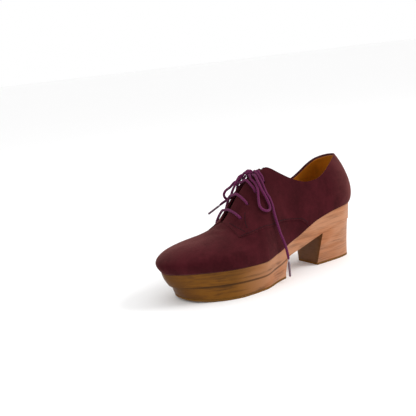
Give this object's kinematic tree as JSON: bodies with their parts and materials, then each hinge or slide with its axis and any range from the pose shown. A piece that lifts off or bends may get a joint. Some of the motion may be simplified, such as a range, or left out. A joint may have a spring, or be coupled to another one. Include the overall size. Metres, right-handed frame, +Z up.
{
  "type": "lace-up clog shoe",
  "caption": "Lace-up suede shoe on a wooden platform with a block heel, left foot, open at the collar, standing on its forefoot and heel treads",
  "frame": {"origin": "Centre of the heel tread on the floor, on the shoe's middle line", "axes": "+X to the toe, +Y to the lateral side of this left shoe, +Z up from the floor"},
  "size_m": [0.2527, 0.0919, 0.1202],
  "materials": {
    "board_wood": "warm oiled wood, satin, curved long grain",
    "platform_wood": "warm oiled wood, satin",
    "heel_wood": "warm oiled wood, satin",
    "tread_rubber": "thin dark brown tread",
    "sock_leather": "smooth tan leather",
    "suede": "wine suede with a soft nap, tan lining",
    "lace_cotton": "round waxed plum cord",
    "aglet_plastic": "clear plastic film over plum cord"
  },
  "bodies": {
    "root": {"footbed_board": "board_wood", "platform_block": "platform_wood", "heel_block": "heel_wood", "forefoot_tread": "tread_rubber", "heel_top_piece": "tread_rubber", "insole": "sock_leather", "upper": "suede", "tongue": "suede", "lace_bar_1": "lace_cotton", "lace_bar_2": "lace_cotton", "lace_bar_3": "lace_cotton", "lace_bar_4": "lace_cotton", "lace_knot": "lace_cotton", "lace_loop_lateral": "lace_cotton", "lace_loop_medial": "lace_cotton", "lace_end_lateral": "lace_cotton", "lace_end_medial": "lace_cotton", "aglet_lateral": "aglet_plastic", "aglet_medial": "aglet_plastic"}
  },
  "joints": []
}
